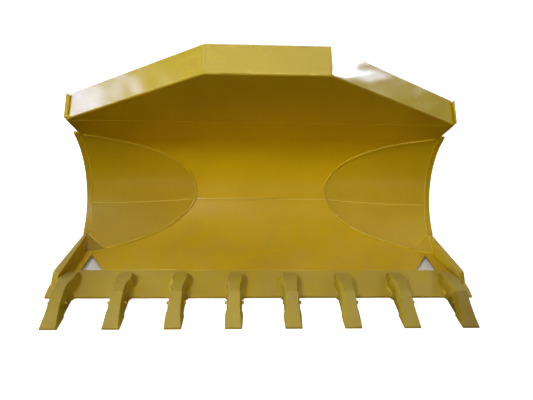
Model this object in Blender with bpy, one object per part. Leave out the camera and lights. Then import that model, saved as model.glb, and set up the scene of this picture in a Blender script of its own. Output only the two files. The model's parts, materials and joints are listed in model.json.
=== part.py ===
"""Toothed skid steer bucket with a spill guard and a quick-attach back frame.

Design axes: X to the bucket's right, Y from the cutting edge to the back, Z up.
While it is built, Z = 0 is the cutting edge's top surface, and Y = 0 lies EDGE_FRONT ahead
of the edge's front line. A parent empty then moves everything so that the origin is the
bottom centre of the whole bucket's box. All sizes are metres.
"""

import bpy
import bmesh
from math import acos, atan2, cos, hypot, pi, radians, sin, tan
from mathutils import Vector

# ---------------------------------------------------------------- driving sizes
WIDTH = 2.149            # cutting edge, end to end
GAP = 0.0003             # clearance left between welded pieces

EDGE_FRONT = 0.016       # the edge's front line
EDGE_BEVEL = 0.066       # where the top bevel starts
EDGE_DEPTH = 0.213       # the edge's rear line, where the floor plate starts
EDGE_T = 0.025           # thickness
EDGE_LIP = 0.012         # how far the bevel drops

PLATE_T = 0.012          # shell, flange and rib plate
HEEL_Y = 0.398           # where the flat floor turns into the rolled back
HEEL_R = 0.341           # inner radius of the rolled back
LEAN = radians(42.2)     # the straight upper back above horizontal, leaning forward
CREASE = radians(60.5)   # roll angle of the weld between lower and upper plate
GUARD_Z = 0.741          # height of the seam under the spill guard

SIDE_X = 0.988           # inner face of the end plates
SIDE_T = 0.030           # their thickness
SIDE_ARC = (0.252, 0.416, 0.400)   # Y, Z and radius of the end plates' hollow front edge
FOOT_RUN = 0.430         # run length where the end plates' front edge stands on the floor
CUTTER_H = 0.075         # the side cutters' height
CUTTER_NOSE = 0.092      # Y of the side cutters' front
CUTTER_REAR = (0.990, 1.007)       # X of a cutter's faces at the end plate
CUTTER_FRONT = (1.036, 1.0742)     # and at its nose
CUTTER_LEAN = 0.026      # how far the nose's top leans inwards
CUTTER_SKEW = 0.030      # how much further back the nose is outside than inside

GUARD_LENGTH = 0.471     # from the seam to the top, along the leaning plate
GUARD_FOOT_X = 0.992     # half width of the guard's foot
GUARD_TOP_X = 0.259      # and of its top edge
GUARD_T = 0.006
FLANGE_H = 0.137         # from the guard's underside to the flange's rim
CAP_X = {"left": (0.972, 0.992), "right": (0.985, 0.994)}   # faces of the flange's end caps
CAP_FRONT = 0.020        # how far up the guard plate's line the caps reach
CAP_DROP = 0.010         # how much lower a cap's top is inside than outside

PANEL_T = 0.010          # the corner panels' thickness
SEAM_X = 0.394           # where the corner panels' weld reaches furthest in
SEAM_MID = 0.812         # run length along the shell at that point
SEAM_HALF = 0.443        # run length from there to either end of the weld
SEAM_START = -0.91       # fraction of SEAM_HALF where the panel leaves the floor
GUSSET_Y = 0.362         # foot of the gusset under the panel, at the side cutter

NOTCH = ((0.848, 0.213), (0.961, 0.213), (0.948, 0.351))  # X, Y of the corner openings

TOOTH_COUNT = 8
TOOTH_PITCH = 0.279
TOOTH_REACH = 0.191      # point's tip ahead of Y = 0
LEG_LENGTH = 0.172       # end of the adapter's leg on the edge
POINT_REAR = -0.002      # the point's open end, at its underside
MOUTH_SLOPE = 0.30       # how far the point's open end slants forward for each metre up
PIN_Y = -0.054           # the tooth pins' axis
PIN_Z = 0.012
PIN_R = 0.008

ATTACH_Y = 0.800         # front face of the quick-attach plate
ATTACH_X = 0.572         # half its width
ATTACH_Z = (0.060, 0.470)
LIP_TOP = 0.520          # where the lip's 45 degree hook starts
LIP_RUN = 0.045
LEDGE_DEPTH = 0.080
LEDGE_T = 0.016
SLOT_X = 0.508           # wedge-pin slots, either side of the centre
SLOT_SIZE = (0.067, 0.027)
RIB_X = (-0.556, -0.190, 0.190, 0.556)
STRIP_X = (-0.780, -0.270, 0.270, 0.780)
STRIP_WIDTH = 0.100

ROLL_STEP = radians(5.0)
YELLOW = (0.42, 0.29, 0.022)

# ---------------------------------------------------------------- derived sizes
BACK_REACH = ATTACH_Y + PLATE_T + LEDGE_DEPTH
ROLL_END = pi - LEAN
CHORD_SAG = HEEL_R * (1 - cos(ROLL_STEP / 2))   # how far the roll's flats stand in from its arc
FRAME_SHIFT = Vector((0.0, -(BACK_REACH - TOOTH_REACH) / 2, EDGE_T))


# ---------------------------------------------------------------- helpers
def clear_scene():
    for item in list(bpy.data.objects):
        bpy.data.objects.remove(item, do_unlink=True)


def make_frame():
    empty = bpy.data.objects.new("bucket_frame", None)
    empty.location = FRAME_SHIFT
    bpy.context.collection.objects.link(empty)
    return empty


def paint(name, colour, roughness=0.32, metallic=0.0):
    material = bpy.data.materials.new(name + "_paint")
    material.use_nodes = True
    shader = material.node_tree.nodes["Principled BSDF"]
    shader.inputs["Base Color"].default_value = (*colour, 1.0)
    shader.inputs["Roughness"].default_value = roughness
    shader.inputs["Metallic"].default_value = metallic
    return material


def add_object(name, mesh, colour=YELLOW):
    item = bpy.data.objects.new(name, mesh)
    item.parent = FRAME
    item.data.materials.append(paint(name, colour))
    bpy.context.collection.objects.link(item)
    return item


def solid(name, verts, faces, colour=YELLOW):
    """A closed body from vertices and faces, with its faces turned outwards."""
    mesh = bpy.data.meshes.new(name)
    mesh.from_pydata([tuple(v) for v in verts], [], faces)
    shape = bmesh.new()
    shape.from_mesh(mesh)
    bmesh.ops.recalc_face_normals(shape, faces=shape.faces)
    shape.to_mesh(mesh)
    shape.free()
    mesh.shade_smooth()
    mesh.set_sharp_from_angle(angle=radians(25))
    return add_object(name, mesh, colour)


def prism(name, outline, place, low, high):
    """Extrude a flat outline; place(a, b, h) puts outline point a, b at height h."""
    count = len(outline)
    verts = [place(a, b, low) for a, b in outline]
    verts += [place(a, b, high) for a, b in outline]
    faces = [tuple(range(count)), tuple(range(count, 2 * count))]
    for i in range(count):
        j = (i + 1) % count
        faces.append((i, j, count + j, count + i))
    return solid(name, verts, faces)


def strip(name, inner, outer, x_low, x_high):
    """A bent plate: two matching YZ lines, swept along X."""
    verts = []
    for line, x in ((inner, x_low), (inner, x_high), (outer, x_low), (outer, x_high)):
        verts += [(x, y, z) for y, z in line]
    n = len(inner)
    faces = []
    for i in range(n - 1):
        a, b, c, d = i, n + i, 2 * n + i, 3 * n + i
        faces += [(a, a + 1, b + 1, b), (c, c + 1, d + 1, d)]
        faces += [(a, a + 1, c + 1, c), (b, b + 1, d + 1, d)]
    for i in (0, n - 1):
        faces.append((i, n + i, 3 * n + i, 2 * n + i))
    return solid(name, verts, faces)


def loft(name, rings, colour=YELLOW):
    """Join rings of equal point count into one closed body."""
    size = len(rings[0])
    verts = [point for ring in rings for point in ring]
    faces = [tuple(range(size)), tuple(range(len(verts) - size, len(verts)))]
    faces += ring_walls(len(rings), size, 0)
    return solid(name, verts, faces, colour)


def ring_walls(ring_count, size, first):
    walls = []
    for r in range(ring_count - 1):
        for i in range(size):
            a = first + r * size + i
            b = first + r * size + (i + 1) % size
            walls.append((a, b, b + size, a + size))
    return walls


def cut(item, cutter):
    cutter.hide_render = True
    cutter.display_type = 'WIRE'
    modifier = item.modifiers.new("cut_" + cutter.name, 'BOOLEAN')
    modifier.operation = 'DIFFERENCE'
    modifier.solver = 'EXACT'
    modifier.object = cutter


def place_yz(a, b, h):
    return (h, a, b)


def place_xy(a, b, h):
    return (a, b, h)


def mirrored(outline, side):
    return [(side * a, b) for a, b in outline]


# ---------------------------------------------------------------- the bucket's profile
def profile_point(run, depth):
    """The shell's YZ point at a run length from the cutting edge's line.

    depth is measured outwards from the inner surface, so 0 is the inside.
    """
    roll = min(max(run - HEEL_Y, 0.0) / HEEL_R, ROLL_END)
    flat = min(run, HEEL_Y)
    rise = max(run - HEEL_Y - HEEL_R * ROLL_END, 0.0)
    radius = HEEL_R + depth
    y = flat + radius * sin(roll) - rise * cos(LEAN)
    z = HEEL_R - radius * cos(roll) + rise * sin(LEAN)
    return y, z


def run_at_height(z):
    """Run length where the straight upper back reaches a height."""
    start_z = HEEL_R * (1 + cos(LEAN))
    return HEEL_Y + HEEL_R * ROLL_END + (z - start_z) / sin(LEAN)


CREASE_RUN = HEEL_Y + HEEL_R * CREASE
GUARD_RUN = run_at_height(GUARD_Z)


def profile_line(start, end, depth):
    """Points along the shell: its ends, the tangent points and even roll steps."""
    runs = [start, end]
    steps = int(ROLL_END / ROLL_STEP)
    runs += [HEEL_Y + HEEL_R * ROLL_END * i / steps for i in range(steps + 1)]
    runs = sorted(r for r in runs if start - 1e-6 <= r <= end + 1e-6)
    kept = [r for i, r in enumerate(runs) if i == 0 or r - runs[i - 1] > 1e-4]
    return [profile_point(r, depth) for r in kept]


def shell_plate(name, start, end):
    inner = profile_line(start, end, 0.0)
    outer = profile_line(start, end, PLATE_T)
    return strip(name, inner, outer, GAP - SIDE_X, SIDE_X - GAP)


def guard_place(x, s, n):
    """Guard plate axes: x across, s up the plate from its seam, n out of its back."""
    y0, z0 = profile_point(GUARD_RUN, 0.0)
    return (x, y0 - s * cos(LEAN) + n * sin(LEAN), z0 + s * sin(LEAN) + n * cos(LEAN))


# ---------------------------------------------------------------- bowl and guard
def edge_top(y):
    """Height of the cutting edge's upper side, which is bevelled towards its front."""
    return -EDGE_LIP * max(0.0, EDGE_BEVEL - y) / (EDGE_BEVEL - EDGE_FRONT)


def make_cutting_edge():
    outline = [(EDGE_FRONT, -EDGE_T), (EDGE_FRONT, -EDGE_LIP), (EDGE_BEVEL, 0)]
    outline += [(EDGE_DEPTH, 0), (EDGE_DEPTH, -EDGE_T)]
    prism("cutting_edge", outline, place_yz, -WIDTH / 2, WIDTH / 2)


def make_shell():
    floor = shell_plate("floor_shell_plate", EDGE_DEPTH + GAP, CREASE_RUN - GAP)
    shell_plate("upper_shell_plate", CREASE_RUN, GUARD_RUN - GAP)
    for side, word in ((-1, "left"), (1, "right")):
        inner, outer, apex = mirrored(NOTCH, side)
        outline = [(inner[0], 0.1), (outer[0], 0.1), outer, apex, inner]
        cutter = prism("notch_cutter_" + word, outline, place_xy, -0.1, 0.1)
        cut(floor, cutter)


def make_guard():
    outline = [(-GUARD_FOOT_X, 0), (GUARD_FOOT_X, 0)]
    outline += [(GUARD_TOP_X, GUARD_LENGTH), (-GUARD_TOP_X, GUARD_LENGTH)]
    prism("spill_guard_plate", outline, guard_place, 0, GUARD_T)
    make_flange(atan2(GUARD_LENGTH, GUARD_FOOT_X - GUARD_TOP_X))
    for i, x in enumerate((-0.2, 0.0, 0.2)):
        make_guard_brace("guard_brace_%d" % (i + 1), x)


def make_flange(slope):
    """Three mitred bars on edge on the guard, flush with its rim, and a cap at each end."""
    mitre = tan(slope / 2)

    def corner(offset):
        return (GUARD_TOP_X + offset * mitre, GUARD_LENGTH + offset)

    def foot(x, offset):
        return (x, (GUARD_FOOT_X - x) * tan(slope) + offset / cos(slope))

    base, joint = GUARD_T + GAP, GAP / 2
    rear_x = GUARD_FOOT_X - (GAP + PLATE_T / cos(slope)) / tan(slope)
    near, far = corner(-PLATE_T), corner(0.0)
    top = [(-near[0] + joint, near[1]), (near[0] - joint, near[1])]
    top += [(far[0] - joint, far[1]), (-far[0] + joint, far[1])]
    prism("flange_centre", top, guard_place, base, FLANGE_H)
    for side, word in ((-1, "left"), (1, "right")):
        inner, outer = CAP_X[word]
        end = inner - GAP
        bar = [(rear_x, GAP), (end, GAP), foot(end, 0.0)]
        bar += [(far[0] + joint, far[1]), (near[0] + joint, near[1])]
        prism("flange_" + word, mirrored(bar, side), guard_place, base, FLANGE_H)
        cap = [(inner, GAP), (outer, GAP), (outer, CAP_FRONT), (inner, CAP_FRONT)]
        heights = (FLANGE_H - CAP_DROP, FLANGE_H, FLANGE_H, FLANGE_H - CAP_DROP)
        low = [guard_place(side * x, s, base) for x, s in cap]
        high = [guard_place(side * x, s, n) for (x, s), n in zip(cap, heights)]
        loft("flange_cap_" + word, [low, high])


def make_guard_brace(name, x):
    top, base, tip = GUARD_LENGTH - PLATE_T - GAP, GUARD_T + GAP, FLANGE_H - 0.012
    outline = [(top - 0.11, base), (top, base), (top, tip), (top - 0.02, tip)]

    def place(s, n, h):
        return guard_place(x + h, s, n)

    prism(name, outline, place, -PLATE_T / 2, PLATE_T / 2)


# ---------------------------------------------------------------- sides
def side_arc_angle(z):
    """Angle round the end plates' front arc at a height below or above its centre."""
    return acos((SIDE_ARC[1] - z) / SIDE_ARC[2])


def side_arc_point(angle):
    middle_y, middle_z, radius = SIDE_ARC
    return middle_y + radius * sin(angle), middle_z - radius * cos(angle)


def arc_top_run():
    """Run length where the front arc meets the shell's straight inner face."""
    low, high = HEEL_Y + HEEL_R * ROLL_END, GUARD_RUN
    for _ in range(40):
        middle = (low + high) / 2
        y, z = profile_point(middle, 0.0)
        if hypot(y - SIDE_ARC[0], z - SIDE_ARC[1]) > SIDE_ARC[2]:
            low = middle
        else:
            high = middle
    return low


TOP_RUN = arc_top_run()
TOP_ANGLE = side_arc_angle(profile_point(TOP_RUN, 0.0)[1])
CUTTER_ANGLE = side_arc_angle(CUTTER_H)


def arc_line(start, end, steps):
    return [side_arc_point(start + (end - start) * i / steps) for i in range(steps + 1)]


def make_end_plate(side, word):
    """The outer side wall: a crescent from the floor to the shell's straight part."""
    front = [profile_point(FOOT_RUN, 0.0)] + arc_line(CUTTER_ANGLE, TOP_ANGLE, 18)
    back = profile_line(FOOT_RUN, TOP_RUN, PLATE_T)
    outline = front + back[::-1]
    ends = sorted((side * SIDE_X, side * (SIDE_X + SIDE_T)))
    prism("end_plate_" + word, outline, place_yz, *ends)


def cutter_face(y, z, across):
    """X of the side cutter at Y and Z; across runs from 0 inside to 1 outside."""
    rear_y = side_arc_point(CUTTER_ANGLE)[0]
    share = (rear_y - y) / (rear_y - CUTTER_NOSE)
    inside = CUTTER_REAR[0] + (CUTTER_FRONT[0] - CUTTER_REAR[0]) * share
    outside = CUTTER_REAR[1] + (CUTTER_FRONT[1] - CUTTER_REAR[1]) * share
    return inside + (outside - inside) * across - CUTTER_LEAN * share * z / CUTTER_H


def make_side_cutter(side, word):
    """A low, thick plate from the end plate's foot to the edge's corner, splayed and leaning."""
    rear_y = side_arc_point(CUTTER_ANGLE)[0] - 0.002
    foot_y = FOOT_RUN - 0.002
    nose = [(CUTTER_NOSE + 0.006, CUTTER_H), (CUTTER_NOSE, CUTTER_H - 0.012), (CUTTER_NOSE, GAP)]
    step = [(EDGE_DEPTH + GAP, GAP), (EDGE_DEPTH + GAP, -PLATE_T), (foot_y, -PLATE_T), (foot_y, 0)]
    outline = nose + step + [(rear_y, CUTTER_H)]

    def place(y, z, across):
        share = max(0.0, 1 - (y - CUTTER_NOSE) / 0.05)
        return (side * cutter_face(y, z, across), y + CUTTER_SKEW * (across - 0.5) * share, z)

    prism("side_cutter_" + word, outline, place, 0, 1)


def make_floor_wedge(side, word):
    """The tapered strip of floor between the shell plate and the splayed side cutter."""
    y_front, y_rear = EDGE_DEPTH + GAP, HEEL_Y
    x = SIDE_X + GAP
    outline = [(x, y_front), (cutter_face(y_front, 0, 0) - GAP, y_front)]
    outline += [(cutter_face(y_rear, 0, 0) - GAP, y_rear), (x, y_rear)]
    prism("floor_wedge_" + word, mirrored(outline, side), place_xy, -PLATE_T, 0)


def seam_point(u):
    """X, and run length along the shell, of the corner panel's weld; u from -1 to 1."""
    return SEAM_X + (SIDE_X - SEAM_X) * u * u, SEAM_MID + SEAM_HALF * u


def shell_distance(y, z):
    """Distance in front of the shell's inner face, and the direction towards it."""
    if y <= HEEL_Y and z < HEEL_R:
        return z, Vector((0, 0, -1))
    offset = Vector((0, y - HEEL_Y, z - HEEL_R))
    limit = Vector((0, sin(ROLL_END), -cos(ROLL_END)))
    if offset.normalized().z > limit.z:
        return HEEL_R - offset.dot(limit), limit
    return HEEL_R - offset.length, offset.normalized()


def set_off(point, least):
    """Move a point away from the shell until it is at least that far in front."""
    distance, towards = shell_distance(point.y, point.z)
    return point - towards * max(0.0, least - distance)


def make_corner_panel(side, word):
    """A dished plate ruled from the end plate's front arc to its weld on the shell."""
    rows, columns = 26, 8
    front_edge_x = SIDE_X - GAP
    seat = GAP + CHORD_SAG
    face, back = [], []
    for i in range(rows + 1):
        share = i / rows
        angle = CUTTER_ANGLE + (TOP_ANGLE - CUTTER_ANGLE) * share
        seam_x, run = seam_point(SEAM_START + (1 - SEAM_START) * share)
        y, z = side_arc_point(angle)
        outer = Vector((front_edge_x, y, z))
        inner = Vector((min(seam_x, front_edge_x - 0.002), *profile_point(run, 0.0)))
        for j in range(columns + 1):
            point = set_off(outer.lerp(inner, j / columns), seat + 0.0006)
            distance, towards = shell_distance(point.y, point.z)
            rear = point + towards * min(PANEL_T, distance - seat)
            face.append((side * point.x, point.y, point.z))
            back.append((side * rear.x, rear.y, rear.z))
    width = columns + 1
    shift = len(face)
    faces = []
    for i in range(rows):
        for j in range(columns):
            a = i * width + j
            quad = (a, a + 1, a + 1 + width, a + width)
            faces += [quad, tuple(v + shift for v in quad)]
    rim = list(range(width))
    rim += [i * width + columns for i in range(1, rows + 1)]
    rim += [rows * width + j for j in range(columns - 1, -1, -1)]
    rim += [i * width for i in range(rows - 1, 0, -1)]
    for a, b in zip(rim, rim[1:] + rim[:1]):
        faces.append((a, b, b + shift, a + shift))
    solid("corner_panel_" + word, face + back, faces)


def make_corner_gusset(side, word):
    """The small triangle that closes the corner under the panel's lower edge."""
    clear, from_cutter = 0.0009, 0.004
    x_in, run = seam_point(SEAM_START)
    y_top, z_top = side_arc_point(CUTTER_ANGLE)
    inner = Vector((x_in, run - 0.008, clear))
    foot = Vector((cutter_face(GUSSET_Y, 0, 0) - from_cutter, GUSSET_Y, clear))
    peak_y, peak_z = y_top - 0.006, z_top - 0.004
    peak = Vector((cutter_face(peak_y, peak_z, 0) - from_cutter, peak_y, peak_z))
    front = [inner, foot, peak]
    behind = Vector((0, 0.004, 0))
    back = [inner + behind, foot + behind, peak + Vector((0, 0.003, -0.002))]
    verts = [(side * p.x, p.y, p.z) for p in front + back]
    faces = [(0, 1, 2), (3, 4, 5), (0, 1, 4, 3), (1, 2, 5, 4), (2, 0, 3, 5)]
    solid("corner_gusset_" + word, verts, faces)


# ---------------------------------------------------------------- teeth
def section(x, y, widths, heights, slope=0.0):
    """Six points round a bar's section, from its widths at three heights.

    y holds at the edge's underside, and slope carries the section forward above it.
    """
    left = [(-w / 2, z) for w, z in zip(widths, heights)]
    right = [(-a, z) for a, z in reversed(left)]
    return [(x + a, y - slope * (z + EDGE_T), z) for a, z in left + right]


def make_adapter(name, x):
    """Weld-on adapter: a shouldered leg on the edge and a tapered nose ahead of it."""
    def on_edge(y, width, top, shoulder, height):
        base = edge_top(y) + GAP
        return section(x, y, (width, width, top), (base, shoulder, height))

    lip_y = EDGE_FRONT - GAP
    nose_y = POINT_REAR + GAP
    rings = [
        on_edge(LEG_LENGTH, 0.056, 0.048, 0.008, 0.012),
        on_edge(0.140, 0.078, 0.058, 0.012, 0.042),
        on_edge(0.080, 0.102, 0.074, 0.010, 0.058),
        on_edge(EDGE_BEVEL, 0.102, 0.070, 0.010, 0.061),
        on_edge(0.028, 0.066, 0.052, 0.026, 0.063),
        section(x, lip_y, (0.064, 0.063, 0.051), (-EDGE_LIP + GAP, 0.026, 0.063)),
        section(x, lip_y - 0.0005, (0.096, 0.063, 0.051), (-EDGE_T, 0.020, 0.063)),
        section(x, nose_y, (0.070, 0.062, 0.050), (-EDGE_T, 0.018, 0.061), MOUTH_SLOPE),
        section(x, nose_y - 0.0002, (0.0560, 0.0560, 0.0440), (-0.0110, 0.0300, 0.0440), MOUTH_SLOPE),
        section(x, -0.113, (0.0380, 0.0380, 0.0320), (-0.0074, 0.0020, 0.0050)),
    ]
    return loft(name, rings)


def make_point(name, x):
    """Chisel point: hollow at the back for the adapter's nose, winged near the tip."""
    outside = [
        section(x, POINT_REAR, (0.074, 0.073, 0.056), (-EDGE_T, 0.030, 0.061), MOUTH_SLOPE),
        section(x, -0.070, (0.074, 0.072, 0.053), (-EDGE_T, 0.020, 0.046)),
        section(x, -0.100, (0.075, 0.073, 0.054), (-EDGE_T, 0.004, 0.032)),
        section(x, -0.107, (0.086, 0.084, 0.056), (-EDGE_T, -0.004, 0.028)),
        section(x, -0.146, (0.084, 0.083, 0.060), (-EDGE_T, -0.012, 0.009)),
        section(x, -TOOTH_REACH, (0.080, 0.080, 0.072), (-EDGE_T, -0.020, -0.014)),
    ]
    inside = [
        section(x, POINT_REAR, (0.0580, 0.0580, 0.0460), (-0.0120, 0.0306, 0.0450), MOUTH_SLOPE),
        section(x, -0.1145, (0.0400, 0.0400, 0.0340), (-0.0084, 0.0030, 0.0060)),
    ]
    size = len(outside[0])
    verts = [p for ring in outside + inside for p in ring]
    first = len(outside) * size
    faces = ring_walls(len(outside), size, 0) + ring_walls(len(inside), size, first)
    faces.append(tuple(range(first - size, first)))
    faces.append(tuple(range(len(verts) - size, len(verts))))
    for i in range(size):
        j = (i + 1) % size
        faces.append((i, j, first + j, first + i))
    return solid(name, verts, faces)


def make_pin(name, x, radius, length):
    """A round bar across the tooth."""
    sides = 16
    rings = []
    for a, scale in ((-0.5, 0.8), (-0.47, 1.0), (0.47, 1.0), (0.5, 0.8)):
        ring = []
        reach = radius * scale
        for i in range(sides):
            angle = 2 * pi * i / sides
            ring.append((x + a * length, PIN_Y + reach * cos(angle), PIN_Z + reach * sin(angle)))
        rings.append(ring)
    return loft(name, rings, (0.30, 0.21, 0.03))


def make_teeth():
    for i in range(TOOTH_COUNT):
        x = (i - (TOOTH_COUNT - 1) / 2) * TOOTH_PITCH
        number = i + 1
        adapter = make_adapter("tooth_adapter_%d" % number, x)
        point = make_point("tooth_point_%d" % number, x)
        make_pin("tooth_pin_%d" % number, x, PIN_R, 0.092)
        hole = make_pin("pin_hole_cutter_%d" % number, x, PIN_R + GAP, 0.140)
        cut(adapter, hole)
        cut(point, hole)


# ---------------------------------------------------------------- back
def make_quick_attach():
    """Vertical mounting plate, 45 degree top lip and slotted bottom ledge."""
    low, high = ATTACH_Z
    front, rear = ATTACH_Y, ATTACH_Y + PLATE_T
    box = [(front, low), (rear, low), (rear, high), (front, high)]
    prism("attach_plate", box, place_yz, -ATTACH_X, ATTACH_X)
    thick = PLATE_T / 2 ** 0.5
    hook = LIP_TOP - LIP_RUN
    lip = [(front, high + GAP), (rear, high + GAP), (rear, LIP_TOP), (rear + LIP_RUN, hook)]
    lip += [(rear + LIP_RUN + thick, hook + thick), (rear + 0.005, LIP_TOP + PLATE_T)]
    lip += [(front, LIP_TOP + PLATE_T)]
    prism("attach_top_lip", lip, place_yz, -ATTACH_X, ATTACH_X)
    top = low - GAP
    flat = [(front, top - LEDGE_T), (BACK_REACH, top - LEDGE_T), (BACK_REACH, top), (front, top)]
    ledge = prism("attach_bottom_ledge", flat, place_yz, -ATTACH_X, ATTACH_X)
    length, width = SLOT_SIZE
    slot_y = (rear + 0.006, rear + 0.006 + width)
    for side, word in ((-1, "left"), (1, "right")):
        near, far = side * SLOT_X - length / 2, side * SLOT_X + length / 2
        slot = [(near, slot_y[0]), (far, slot_y[0]), (far, slot_y[1]), (near, slot_y[1])]
        cut(ledge, prism("slot_cutter_" + word, slot, place_xy, 0.0, 0.2))


def make_back_rib(name, x):
    """Upright rib that carries the mounting plate off the shell's curved back."""
    start = HEEL_Y + HEEL_R * radians(20)
    end = run_at_height(LIP_TOP + 0.10)
    curve = profile_line(start, end, PLATE_T + GAP)
    rear = ATTACH_Y - GAP
    under = ATTACH_Z[0] - LEDGE_T - 2 * GAP
    outline = curve + [(rear, LIP_TOP), (rear, under), (BACK_REACH - 0.02, under)]
    prism(name, outline, place_yz, x - PLATE_T / 2, x + PLATE_T / 2)


def make_back_channel():
    """Full-width channel, open towards the shell, above the mounting plate."""
    foot = PLATE_T + GAP
    out = foot + 0.060
    wall = 0.008
    low, high = -0.120, -0.030
    outline = [(low, foot), (low, out), (high, out), (high, foot)]
    outline += [(high - wall, foot), (high - wall, out - wall), (low + wall, out - wall), (low + wall, foot)]

    def place(s, n, h):
        return guard_place(h, s, n)

    prism("back_channel", outline, place, -0.96, 0.96)


def make_wear_strip(name, x):
    start, end = EDGE_DEPTH + 0.010, HEEL_Y + HEEL_R * radians(15)
    inner = profile_line(start, end, PLATE_T + GAP)
    outer = profile_line(start, end, EDGE_T)
    strip(name, inner, outer, x - STRIP_WIDTH / 2, x + STRIP_WIDTH / 2)


def make_back():
    make_quick_attach()
    for i, x in enumerate(RIB_X):
        make_back_rib("back_rib_%d" % (i + 1), x)
    make_back_channel()
    for i, x in enumerate(STRIP_X):
        make_wear_strip("wear_strip_%d" % (i + 1), x)


# ---------------------------------------------------------------- assembly
clear_scene()
FRAME = make_frame()
make_cutting_edge()
make_shell()
make_guard()
for SIDE, WORD in ((-1, "left"), (1, "right")):
    make_end_plate(SIDE, WORD)
    make_side_cutter(SIDE, WORD)
    make_floor_wedge(SIDE, WORD)
    make_corner_panel(SIDE, WORD)
    make_corner_gusset(SIDE, WORD)
make_teeth()
make_back()
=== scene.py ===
"""Looks for the toothed skid steer bucket: bevelled plates, weld beads, paint, light and camera."""

import bpy
import bmesh
import json
from math import atan2, cos, pi, radians, sin, sqrt, tan
from mathutils import Matrix, Vector, noise


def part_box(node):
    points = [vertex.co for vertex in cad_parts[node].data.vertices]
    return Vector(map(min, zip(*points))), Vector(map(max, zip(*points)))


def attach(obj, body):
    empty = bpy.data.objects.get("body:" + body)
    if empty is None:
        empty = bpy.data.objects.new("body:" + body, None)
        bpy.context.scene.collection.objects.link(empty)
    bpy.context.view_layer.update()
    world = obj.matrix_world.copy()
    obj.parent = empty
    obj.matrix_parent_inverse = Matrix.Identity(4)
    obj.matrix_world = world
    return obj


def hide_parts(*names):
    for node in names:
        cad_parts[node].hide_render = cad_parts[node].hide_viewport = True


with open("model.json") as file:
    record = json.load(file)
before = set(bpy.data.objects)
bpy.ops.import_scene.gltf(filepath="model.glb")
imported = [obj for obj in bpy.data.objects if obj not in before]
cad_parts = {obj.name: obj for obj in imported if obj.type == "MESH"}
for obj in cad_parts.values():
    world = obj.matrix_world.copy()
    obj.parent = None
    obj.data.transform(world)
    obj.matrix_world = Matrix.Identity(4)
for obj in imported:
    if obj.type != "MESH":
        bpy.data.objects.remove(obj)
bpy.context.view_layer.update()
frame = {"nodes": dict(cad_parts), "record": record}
NODES = frame["nodes"]
BODY = "root"

# ---------------------------------------------------------------- the bucket's own measures
# Y and Z below are measured as in the design: Z from the cutting edge's top surface, and
# Y from EDGE_FRONT ahead of its front line. at() turns them into the frame's metres.
EDGE_LOW, EDGE_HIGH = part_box("cutting_edge")
EDGE_FRONT = 0.016
EDGE_REAR = EDGE_HIGH.y - EDGE_LOW.y + EDGE_FRONT
EDGE_BEVEL = 0.066
EDGE_LIP = 0.012
HEEL_Y, HEEL_R = 0.398, 0.341
LEAN = radians(42.2)
ROLL_END = pi - LEAN
CREASE_RUN = HEEL_Y + HEEL_R * radians(60.5)
SIDE_X = 0.988
SIDE_ARC = (0.252, 0.416, 0.400)   # Y, Z and radius of the end plates' hollow front edge
CUTTER_H = 0.075
SEAM_X, SEAM_MID, SEAM_HALF, SEAM_START = 0.394, 0.812, 0.443, -0.91
GUARD_Z = 0.741
GUARD_LENGTH, GUARD_FOOT_X, GUARD_TOP_X = 0.471, 0.992, 0.259
GUARD_T = 0.006
FLANGE_H = 0.137
PLATE_T = 0.012
TEETH, TOOTH_PITCH = 8, 0.279
FOLD_SHARE = 0.287          # where the fold in a corner panel meets its front edge
FLOOR_SEAM_X = 0.846        # half length of the seam between the edge and the floor plate
CUTTER_FOOT_X = 1.003       # the side cutter's inner foot, at its rear end
CUTTER_REAR_Y = 0.352
PUDDLE = 0.0052             # ripple length of a weld

# Camera, fitted to the photo; its height sets the scale and is an assumption.
CAMERA_PLACE = (-0.0767, -1.638, 1.4505)
CAMERA_PITCH, CAMERA_YAW, CAMERA_ROLL = radians(28.8), radians(2.79), radians(1.77)
CAMERA_LENS, CAMERA_SENSOR = 29.04, 36.0

# Stage: a round floor with a wall, bright all over but with a painted shadow, a dim patch, under the
# bucket.
STAGE_REACH, WALL_HEIGHT, STAGE_SIDES = 60.0, 40.0, 96
STAGE_GLOW, SHADOW_GLOW = 0.85, 0.03
SHADOW_HALF_Y = 0.22              # half depth of the painted shadow patch


def at(x, y, z):
    """A frame point from a design one."""
    return Vector((x, EDGE_LOW.y - EDGE_FRONT + y, EDGE_HIGH.z + z))


def profile_point(run, depth=0.0):
    """The shell's YZ at a run length from the front; depth goes out through the plate."""
    roll = min(max(run - HEEL_Y, 0.0) / HEEL_R, ROLL_END)
    flat = min(run, HEEL_Y)
    rise = max(run - HEEL_Y - HEEL_R * ROLL_END, 0.0)
    radius = HEEL_R + depth
    y = flat + radius * sin(roll) - rise * cos(LEAN)
    z = HEEL_R - radius * cos(roll) + rise * sin(LEAN)
    return y, z


def run_at_height(z):
    """Run length at a height on the flat upper part of the shell."""
    return HEEL_Y + HEEL_R * ROLL_END + (z - HEEL_R * (1 + cos(LEAN))) / sin(LEAN)


GUARD_RUN = run_at_height(GUARD_Z)
PANEL_ANGLES = radians(31.5), radians(120.2)   # round the front arc, from foot to top


def on_shell(x, run, depth=0.0):
    """A point on the shell's inner face, or at a depth behind it."""
    return at(x, *profile_point(run, depth))


def on_guard(x, s, n):
    """Guard plate axes: s up the plate from its seam, n out of its back."""
    y, z = profile_point(GUARD_RUN)
    return at(x, y - s * cos(LEAN) + n * sin(LEAN), z + s * sin(LEAN) + n * cos(LEAN))


def side_arc(z):
    """Y of the end plates' front arc, below its widest point."""
    return SIDE_ARC[0] + sqrt(SIDE_ARC[2] ** 2 - (z - SIDE_ARC[1]) ** 2)


def seam_point(u):
    """X and run length on a corner panel's curved seam; u is -1 at its foot and 1 at its top."""
    return SEAM_X + (SIDE_X - SEAM_X) * u * u, SEAM_MID + SEAM_HALF * u


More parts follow.
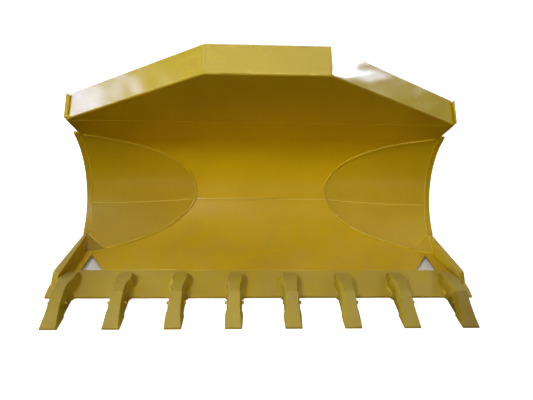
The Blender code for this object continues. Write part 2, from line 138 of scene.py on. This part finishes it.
def panel_point(share, across):
    """A corner panel's face: share from its foot to its top, across from 0 outside to 1."""
    low, high = PANEL_ANGLES
    angle = low + (high - low) * share
    arc_y, arc_z, arc_r = SIDE_ARC
    outer = at(SIDE_X, arc_y + arc_r * sin(angle), arc_z - arc_r * cos(angle))
    x, run = seam_point(SEAM_START + (1 - SEAM_START) * share)
    return outer.lerp(on_shell(x, run), across)


def edge_top(y):
    """Height of the cutting edge's top, which falls off over its bevel."""
    return -EDGE_LIP * max(0.0, EDGE_BEVEL - y) / (EDGE_BEVEL - EDGE_FRONT)


# ---------------------------------------------------------------- materials
def new_material(name):
    """A node material, its tree and its shader."""
    material = bpy.data.materials.new(name)
    material.use_nodes = True
    tree = material.node_tree
    shader = tree.nodes["Principled BSDF"]
    return material, tree, shader


def noise_node(tree, coords, scale, detail, roughness):
    node = tree.nodes.new("ShaderNodeTexNoise")
    node.inputs["Scale"].default_value = scale
    node.inputs["Detail"].default_value = detail
    node.inputs["Roughness"].default_value = roughness
    tree.links.new(coords, node.inputs["Vector"])
    return node.outputs["Fac"]


def ramp_node(tree, value, low, high, start=0.0, end=1.0):
    """Start below low, end above high, and a straight ramp between."""
    node = tree.nodes.new("ShaderNodeMapRange")
    node.inputs["From Min"].default_value = low
    node.inputs["From Max"].default_value = high
    node.inputs["To Min"].default_value = start
    node.inputs["To Max"].default_value = end
    tree.links.new(value, node.inputs["Value"])
    return node.outputs["Result"]


def mix_colour(tree, factor, first, second):
    """Mix two colours, each a socket or a plain RGB."""
    node = tree.nodes.new("ShaderNodeMix")
    node.data_type = 'RGBA'
    for value, socket in ((factor, node.inputs[0]), (first, node.inputs[6]), (second, node.inputs[7])):
        if isinstance(value, tuple):
            socket.default_value = (*value, 1.0)
        else:
            tree.links.new(value, socket)
    return node.outputs[2]


def bump_node(tree, height, strength, distance, previous=None):
    node = tree.nodes.new("ShaderNodeBump")
    node.inputs["Strength"].default_value = strength
    node.inputs["Distance"].default_value = distance
    tree.links.new(height, node.inputs["Height"])
    if previous is not None:
        tree.links.new(previous, node.inputs["Normal"])
    return node.outputs["Normal"]


def product(tree, first, second):
    node = tree.nodes.new("ShaderNodeMath")
    node.operation = 'MULTIPLY'
    tree.links.new(first, node.inputs[0])
    tree.links.new(second, node.inputs[1])
    return node.outputs[0]


def yellow_paint(name, colour, shade, rough, waviness, grain, dust, gloss, waves):
    """Sprayed yellow enamel: slow colour drift, dust on upward faces, waves and orange peel."""
    material, tree, shader = new_material(name)
    coords = tree.nodes.new("ShaderNodeTexCoord").outputs["Object"]
    drift = noise_node(tree, coords, 2.3, 4.0, 0.55)
    base = mix_colour(tree, ramp_node(tree, drift, 0.36, 0.66), colour, shade)

    geometry = tree.nodes.new("ShaderNodeNewGeometry")
    split = tree.nodes.new("ShaderNodeSeparateXYZ")
    tree.links.new(geometry.outputs["Normal"], split.inputs[0])
    upward = ramp_node(tree, split.outputs["Z"], 0.45, 1.0)
    patches = ramp_node(tree, noise_node(tree, coords, 7.0, 6.0, 0.62), 0.36, 0.70, 0.25, 1.0)
    amount = ramp_node(tree, product(tree, upward, patches), 0.0, 1.0, 0.0, dust)
    dusty = mix_colour(tree, amount, base, (0.40, 0.34, 0.20))

    scuff = ramp_node(tree, noise_node(tree, coords, 61.0, 5.0, 0.7), 0.60, 0.74)
    scuffed = mix_colour(tree, product(tree, scuff, upward), dusty, tuple(c * 0.82 for c in shade))
    speck = ramp_node(tree, noise_node(tree, coords, 210.0, 1.0, 0.5), 0.73, 0.78)
    spotted = mix_colour(tree, speck, scuffed, tuple(c * 0.78 for c in shade))
    tree.links.new(spotted, shader.inputs["Base Color"])

    smear = noise_node(tree, coords, 5.5, 5.0, 0.6)
    tree.links.new(ramp_node(tree, smear, 0.3, 0.75, rough, rough + 0.12), shader.inputs["Roughness"])
    stretch = tree.nodes.new("ShaderNodeVectorMath")
    stretch.operation = 'MULTIPLY'
    tree.links.new(coords, stretch.inputs[0])
    stretch.inputs[1].default_value = waves
    slow = bump_node(tree, noise_node(tree, stretch.outputs[0], 1.0, 1.0, 0.4), 0.6, waviness)
    peel = bump_node(tree, noise_node(tree, coords, 420.0, 2.0, 0.5), 0.20, grain, slow)
    tree.links.new(peel, shader.inputs["Normal"])
    shader.inputs["Specular IOR Level"].default_value = gloss
    shader.inputs["Coat Weight"].default_value = 0.30 * gloss
    shader.inputs["Coat Roughness"].default_value = 0.10
    return material


EVEN_WAVES = (3.1, 3.1, 3.1)
FLANGE_WAVES = (1.9, 5.0, 9.0)


def make_materials():
    """Each paint: colour, darker shade, roughness, depth of waves and of grain, dust, gloss."""
    deep, bright = (0.72, 0.475, 0.003), (0.71, 0.505, 0.008)
    paints = {
        "flange": ((0.65, 0.475, 0.012), (0.61, 0.44, 0.011), 0.20, 0.0300, 0.0002, 0.03, 0.75),
        "plate": (bright, (0.64, 0.45, 0.007), 0.20, 0.0022, 0.0003, 0.05, 0.50),
        "bowl": (deep, (0.65, 0.42, 0.003), 0.34, 0.0020, 0.0004, 0.20, 0.30),
        # Next: painted shade for the end plates, corner panels and right corner gusset, darker than the
        # bowl paint.
        "panel": ((0.58, 0.38, 0.003), (0.52, 0.335, 0.003), 0.30, 0.0020, 0.0004, 0.10, 0.30),
        # Next: painted shade for the left corner gusset, far darker than the plate paint.
        "painted_shade": ((0.41, 0.26, 0.005), (0.34, 0.21, 0.005), 0.45, 0.0010, 0.0006, 0.10, 0.20),
        "wear": ((0.64, 0.46, 0.030), (0.57, 0.40, 0.026), 0.36, 0.0012, 0.0006, 0.28, 0.30),
        "cast": ((0.53, 0.385, 0.029), (0.45, 0.32, 0.024), 0.38, 0.0010, 0.0012, 0.26, 0.34),
        # Next: painted shade for tooth point 8, darker than the cast paint.
        "shaded_cast": ((0.34, 0.225, 0.009), (0.28, 0.185, 0.008), 0.38, 0.0010, 0.0012, 0.20, 0.30),
        "weld": (bright, (0.66, 0.47, 0.010), 0.24, 0.0004, 0.0005, 0.02, 0.50),
        # Next: a painted highlight, a pale light yellow for the crease, fold and rim beads.
        "painted_highlight": ((0.86, 0.66, 0.11), (0.78, 0.58, 0.07), 0.26, 0.0004, 0.0004, 0.00, 0.50),
    }
    return {
        kind: yellow_paint(kind + "_paint", *values, FLANGE_WAVES if kind == "flange" else EVEN_WAVES)
        for kind, values in paints.items()
    }


# ---------------------------------------------------------------- piece helpers
MERGE_DISTANCE = 0.00002
FLAT_ANGLE = radians(1.0)
SHARP_ANGLE = radians(28)


def add_piece(name, mesh, material):
    """Put a mesh in the scene as a piece that rides on the bucket."""
    piece = bpy.data.objects.new(name, mesh)
    bpy.context.scene.collection.objects.link(piece)
    mesh.materials.clear()
    mesh.materials.append(material)
    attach(piece, BODY)
    return piece


def refine(node, material, width):
    """Stand a bevelled copy in for a CAD node: its outline, with soft rolled or ground edges."""
    mesh = NODES[node].data.copy()
    shape = bmesh.new()
    shape.from_mesh(mesh)
    bmesh.ops.remove_doubles(shape, verts=shape.verts, dist=MERGE_DISTANCE)
    bmesh.ops.dissolve_limit(shape, angle_limit=FLAT_ANGLE, verts=shape.verts, edges=shape.edges)
    bmesh.ops.recalc_face_normals(shape, faces=shape.faces)
    shape.to_mesh(mesh)
    shape.free()
    for layer in list(mesh.attributes):
        if layer.name == "custom_normal":
            mesh.attributes.remove(layer)
    piece = add_piece(node + "_look", mesh, material)
    bevel = piece.modifiers.new("soft_edges", 'BEVEL')
    bevel.width = width
    bevel.segments = 2
    bevel.limit_method = 'ANGLE'
    bevel.angle_limit = SHARP_ANGLE
    bevel.use_clamp_overlap = True
    bevel.harden_normals = True
    mesh.shade_smooth()
    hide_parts(node)
    return piece


# ---------------------------------------------------------------- weld beads
RINGS_PER_PUDDLE = 3
SMOOTH_PITCH = 0.012


def even_path(points, pitch):
    """The same line with points a fixed distance apart."""
    lengths = [0.0]
    for a, b in zip(points, points[1:]):
        lengths.append(lengths[-1] + (b - a).length)
    count = max(2, int(lengths[-1] / pitch))
    path, i = [], 0
    for k in range(count + 1):
        goal = lengths[-1] * k / count
        while i < len(points) - 2 and lengths[i + 1] < goal:
            i += 1
        span = max(lengths[i + 1] - lengths[i], 1e-9)
        path.append(points[i].lerp(points[i + 1], (goal - lengths[i]) / span))
    return path


def add_bead(shape, points, radius, seed, ripple):
    """A weld bead along a line: overlapping puddles, a little uneven, or ground smooth."""
    sides = 7
    path = even_path(points, PUDDLE / RINGS_PER_PUDDLE if ripple else SMOOTH_PITCH)
    rings = []
    for i, point in enumerate(path):
        ahead = path[min(i + 1, len(path) - 1)] - path[max(i - 1, 0)]
        along = ahead.normalized()
        across = along.cross(Vector((0.31, 0.17, 0.93))).normalized()
        other = along.cross(across)
        puddle = 1.0 + 0.13 * ripple * (1.0 - abs(2.0 * ((i / RINGS_PER_PUDDLE) % 1.0) - 1.0))
        uneven = 1.0 + 0.16 * ripple * noise.noise(point * 38.0 + Vector((seed, 0, 0)))
        end = min(1.0, 0.35 + 0.65 * min(i, len(path) - 1 - i) / 3.0)
        size = radius * puddle * uneven * end
        ring = []
        for k in range(sides):
            turn = 2 * pi * k / sides
            ring.append(shape.verts.new(point + (across * cos(turn) + other * sin(turn)) * size))
        rings.append(ring)
    for a, b in zip(rings, rings[1:]):
        for k in range(sides):
            j = (k + 1) % sides
            shape.faces.new((a[k], a[j], b[j], b[k]))
    shape.faces.new(rings[0][::-1])
    shape.faces.new(rings[-1])


def bead_piece(name, lines, radius, paint="weld", ripple=True):
    """One object of weld beads; each line is a list of frame points."""
    shape = bmesh.new()
    for i, line in enumerate(lines):
        add_bead(shape, line, radius, 3.7 * i + len(name), ripple)
    bmesh.ops.recalc_face_normals(shape, faces=shape.faces)
    mesh = bpy.data.meshes.new(name)
    shape.to_mesh(mesh)
    shape.free()
    mesh.shade_smooth()
    return add_piece(name, mesh, PAINTS[paint])


def both_sides(points):
    """The same design line left and right."""
    return [[Vector((side * p.x, p.y, p.z)) for p in points] for side in (-1, 1)]


def line_of(function, start, end, steps=40):
    """Points of a curve given as a function of one number."""
    return [function(start + (end - start) * i / steps) for i in range(steps + 1)]


def make_bowl_welds():
    """The ground crease and folds, and the welds round the inside of the bowl."""
    crease_u = (CREASE_RUN - SEAM_MID) / SEAM_HALF
    seam_x = seam_point(crease_u)[0]
    y, z = profile_point(CREASE_RUN)
    # The crease bead's pale paint is a painted highlight along the bend.
    crease = [at(-seam_x, y - 0.0020, z + 0.0012), at(seam_x, y - 0.0020, z + 0.0012)]
    bead_piece("crease_weld", [crease], 0.0050, paint="painted_highlight", ripple=False)

    def fold(across):
        share = FOLD_SHARE + ((crease_u - SEAM_START) / (1 - SEAM_START) - FOLD_SHARE) * across
        return panel_point(share, across)

    folds = both_sides(line_of(fold, 0.0, 0.995))
    # The fold beads carry the same painted highlight.
    bead_piece("panel_fold", folds, 0.0030, paint="painted_highlight", ripple=False)

    def seam(u):
        x, run = seam_point(u)
        return on_shell(x, run, -0.0035)

    bead_piece("panel_seam_weld", both_sides(line_of(seam, SEAM_START, 0.985, 90)), 0.0052)
    floor_seam = [at(-FLOOR_SEAM_X, EDGE_REAR, 0.0), at(FLOOR_SEAM_X, EDGE_REAR, 0.0)]
    bead_piece("floor_seam_weld", [floor_seam], 0.0022)
    guard = [on_guard(-SIDE_X + 0.003, -0.0005, 0.0), on_guard(SIDE_X - 0.003, -0.0005, 0.0)]
    bead_piece("guard_seam_weld", [guard], 0.0016, ripple=False)

    def arc(angle):
        arc_y, arc_z, arc_r = SIDE_ARC
        y = arc_y + (arc_r + 0.001) * sin(angle)
        return at(SIDE_X - 0.001, y, arc_z - (arc_r + 0.001) * cos(angle))

    bead_piece("end_plate_weld", both_sides(line_of(arc, radians(34), radians(118), 60)), 0.0028)


def make_corner_welds():
    """Beads round the corner gussets, under the side cutters and beside the floor wedges."""
    x_in, run = seam_point(SEAM_START)
    top_y = side_arc(CUTTER_H)
    row = [at(x_in + 0.004, run - 0.003, 0.002), at(SIDE_X - 0.002, top_y - 0.003, CUTTER_H - 0.002)]
    bead_piece("gusset_top_weld", both_sides(row), 0.0052)
    foot = [at(x_in + 0.002, run - 0.010, 0.001), at(1.000, 0.361, 0.001)]
    bead_piece("gusset_foot_weld", both_sides(foot), 0.0034)
    post = [at(0.9995, 0.363, 0.002), at(0.9945, 0.41, 0.037), at(0.989, top_y - 0.006, CUTTER_H - 0.006)]
    bead_piece("gusset_side_weld", both_sides(post), 0.0048)
    low = [at(1.033, 0.086, edge_top(0.086) + 0.001), at(1.020, EDGE_REAR, 0.001)]
    low.append(at(CUTTER_FOOT_X, CUTTER_REAR_Y, 0.001))
    bead_piece("cutter_foot_weld", both_sides(low), 0.0040)
    wedge = [at(SIDE_X, EDGE_REAR + 0.006, 0.0), at(SIDE_X, CUTTER_REAR_Y, 0.0)]
    bead_piece("wedge_weld", both_sides(wedge), 0.0020)


def make_flange_welds():
    """Fillets behind the guard's flange, its ground bends, and a bead on its lower rim in a pale paint
    that is a painted highlight.
    """
    slope = atan2(GUARD_LENGTH, GUARD_FOOT_X - GUARD_TOP_X)
    mitre = tan(slope / 2)
    rear = GUARD_LENGTH - PLATE_T - 0.001
    rear_x = GUARD_TOP_X - (PLATE_T + 0.001) * mitre
    foot_x = GUARD_FOOT_X - (PLATE_T + 0.002) / sin(slope)
    seat = GUARD_T + 0.002
    sides = both_sides([on_guard(foot_x, 0.003, seat), on_guard(rear_x, rear, seat)])
    top = [on_guard(-rear_x, rear, seat), on_guard(rear_x, rear, seat)]
    bead_piece("flange_foot_weld", sides + [top], 0.0040)
    seam = [on_guard(GUARD_TOP_X, GUARD_LENGTH - 0.0014, GUARD_T),
            on_guard(GUARD_TOP_X, GUARD_LENGTH - 0.0014, FLANGE_H - 0.002)]
    bead_piece("flange_bend_weld", both_sides(seam), 0.0034, ripple=False)
    rim_x, rim = 0.968, 0.0012
    edge = [on_guard(rim_x, (GUARD_FOOT_X - rim_x) * tan(slope) + rim, GUARD_T),
            on_guard(GUARD_TOP_X, GUARD_LENGTH + rim, GUARD_T)]
    front = [on_guard(-GUARD_TOP_X, GUARD_LENGTH + rim, GUARD_T), edge[1]]
    # The rim beads carry the same painted highlight.
    bead_piece("flange_rim_bead", both_sides(edge) + [front], 0.0030, paint="painted_highlight", ripple=False)


def make_adapter_weld(number):
    """The bead round an adapter, from the edge's front back round its tail."""
    x = (number - (TEETH + 1) / 2) * TOOTH_PITCH
    # Half width and Y of the adapter's outline on the edge, from the tail forward.
    half = [(0.026, 0.168), (0.034, 0.152), (0.039, 0.140), (0.047, 0.105), (0.051, 0.078)]
    half += [(0.0505, 0.064), (0.040, 0.043), (0.034, 0.026)]
    left = [at(x - a, y, edge_top(y) + 0.002) for a, y in half]
    right = [at(x + a, y, edge_top(y) + 0.002) for a, y in half]
    end = [at(x - 0.026, 0.170, 0.003), at(x, 0.1735, 0.003), at(x + 0.026, 0.170, 0.003)]
    line = left[::-1] + end + right
    bead_piece("adapter_weld_%d" % number, [line], 0.0046)


# ---------------------------------------------------------------- stage, light and camera
def make_stage():
    """A plain pale floor with a round wall, lit from within like a light table, with a painted shadow
    underneath.

    It is left out of the bounced light, as if dark flags stood around the bucket.
    """
    mesh = bpy.data.meshes.new("studio_floor")
    count = STAGE_SIDES
    turns = [2 * pi * i / count for i in range(count)]
    verts = [(STAGE_REACH * cos(t), STAGE_REACH * sin(t), z) for z in (0.0, WALL_HEIGHT) for t in turns]
    faces = [tuple(range(count))]
    faces += [(i, (i + 1) % count, (i + 1) % count + count, i + count) for i in range(count)]
    mesh.from_pydata(verts, [], faces)
    floor = bpy.data.objects.new("studio_floor", mesh)
    bpy.context.scene.collection.objects.link(floor)
    material, tree, shader = new_material("studio_floor_paint")
    shader.inputs["Base Color"].default_value = (0.93, 0.93, 0.935, 1.0)
    shader.inputs["Roughness"].default_value = 1.0
    shader.inputs["Specular IOR Level"].default_value = 0.0
    shader.inputs["Emission Color"].default_value = (1.0, 1.0, 1.0, 1.0)
    coords = tree.nodes.new("ShaderNodeTexCoord").outputs["Object"]
    split = tree.nodes.new("ShaderNodeSeparateXYZ")
    tree.links.new(coords, split.inputs[0])
    # The mask drops the glow to its low value under the bucket's footprint: a painted contact shadow.
    sides = []
    for axis, half in (("X", SIDE_X), ("Y", SHADOW_HALF_Y)):
        size = tree.nodes.new("ShaderNodeMath")
        size.operation = 'ABSOLUTE'
        tree.links.new(split.outputs[axis], size.inputs[0])
        sides.append(ramp_node(tree, size.outputs[0], half - 0.04, half + 0.09, 1.0, 0.0))
    glow = ramp_node(tree, product(tree, *sides), 0.0, 1.0, STAGE_GLOW, SHADOW_GLOW)
    tree.links.new(glow, shader.inputs["Emission Strength"])
    mesh.materials.append(material)
    floor.location.z = -0.0005
    floor.visible_diffuse = False
    floor.visible_glossy = False
    floor.visible_shadow = False


def area_light(name, place, target, size, power, colour=(1.0, 1.0, 1.0), spread=180):
    data = bpy.data.lights.new(name, 'AREA')
    data.shape = 'RECTANGLE'
    data.size, data.size_y = size
    data.energy = power
    data.color = colour
    data.spread = radians(spread)
    lamp = bpy.data.objects.new(name, data)
    lamp.location = place
    direction = Vector(target) - Vector(place)
    lamp.rotation_euler = direction.to_track_quat('-Z', 'Y').to_euler()
    bpy.context.scene.collection.objects.link(lamp)


def make_world():
    """Soft light from above, and little from below."""
    world = bpy.data.worlds.new("studio")
    world.use_nodes = True
    tree = world.node_tree
    coords = tree.nodes.new("ShaderNodeTexCoord").outputs["Generated"]
    split = tree.nodes.new("ShaderNodeSeparateXYZ")
    tree.links.new(coords, split.inputs[0])
    height = ramp_node(tree, split.outputs["Z"], -0.02, 0.30)
    colour = mix_colour(tree, height, (0.025, 0.016, 0.006), (0.22, 0.225, 0.23))
    tree.links.new(colour, tree.nodes["Background"].inputs["Color"])
    bpy.context.scene.world = world


def make_lights():
    """Each light: its place, what it points at, its size, power, colour and spread in degrees."""
    area_light("key", (-2.1, -3.2, 3.85), (-0.05, 0.35, 0.50), (0.9, 0.6), 10.5, spread=56)
    area_light("front_fill", (0.3, -4.6, 0.75), (0.0, 0.2, 0.5), (2.4, 0.8), 15, (1.0, 0.80, 0.50))
    area_light("left_low", (-3.9, -2.0, 0.40), (1.0, -0.28, 0.06), (1.0, 0.5), 2.1, (0.96, 1.0, 0.8), 28)
    area_light("right_low", (4.3, -2.9, 0.8), (0.0, 0.0, 0.3), (1.6, 1.2), 11, (1.0, 0.88, 0.68))
    area_light("ceiling", (0.0, -1.5, 5.2), (0.0, 0.0, 0.7), (5.0, 2.6), 30)
    area_light("left_window", (-6.2, 2.6, 2.4), (-0.8, 0.2, 1.0), (4.6, 2.0), 150, (0.76, 0.88, 1.40))
    area_light("right_window", (5.4, 1.6, 4.15), (0.3, 0.1, 1.1), (0.8, 0.45), 72, (0.86, 0.94, 1.26))


def make_camera():
    """The photo's camera; its axes are built from pitch, yaw and roll."""
    pitch, yaw, roll = CAMERA_PITCH, CAMERA_YAW, CAMERA_ROLL
    forward = Vector((sin(yaw) * cos(pitch), cos(yaw) * cos(pitch), -sin(pitch)))
    level = Vector((cos(yaw), -sin(yaw), 0.0))
    rise = level.cross(forward)
    right = cos(roll) * level + sin(roll) * rise
    up = -sin(roll) * level + cos(roll) * rise
    data = bpy.data.cameras.new("camera")
    data.sensor_width = CAMERA_SENSOR
    data.lens = CAMERA_LENS
    data.clip_end = 200.0
    camera = bpy.data.objects.new("camera", data)
    bpy.context.scene.collection.objects.link(camera)
    turn = Matrix((right, up, -forward)).transposed()
    camera.matrix_world = Matrix.Translation(at(*CAMERA_PLACE)) @ turn.to_4x4()
    bpy.context.scene.camera = camera


# ---------------------------------------------------------------- build
PAINTS = make_materials()
FINISH = {                  # paint and bevel width of each material slot
    "body_yellow": ("plate", 0.0020),
    "wear_yellow": ("wear", 0.0022),
    "tooth_yellow": ("cast", 0.0030),
    "pin_steel": ("cast", 0.0008),
}
# Where a node's paint isn't its slot's. The tones are matched to the photo; the darker ones, for the end
# plates, corner panels, corner gussets and tooth point 8, are painted shade, not a different paint.
NODE_PAINTS = {
    "floor_shell_plate": "bowl",
    "upper_shell_plate": "bowl",
    "floor_wedge_left": "bowl",
    "floor_wedge_right": "bowl",
    "spill_guard_plate": "bowl",
    "flange_left": "flange",
    "flange_centre": "flange",
    "flange_right": "flange",
    "end_plate_left": "panel",
    "end_plate_right": "panel",
    "corner_panel_left": "panel",
    "corner_panel_right": "panel",
    "corner_gusset_left": "painted_shade",
    "corner_gusset_right": "panel",
    "tooth_point_8": "shaded_cast",
}
THIN_BEVEL = 0.0004         # for the corner panels and gussets, whose edges meet their neighbours'

for part in frame["record"]["subparts"]:
    node, slot = part["node"], part["material_slot"]
    kind, width = FINISH[slot]
    if node.startswith("corner_"):
        width = THIN_BEVEL
    refine(node, PAINTS[NODE_PAINTS.get(node, kind)], width)

make_bowl_welds()
make_corner_welds()
make_flange_welds()
for tooth in range(1, TEETH + 1):
    make_adapter_weld(tooth)

make_stage()
make_world()
make_lights()
make_camera()
bpy.context.scene.view_settings.view_transform = 'Standard'
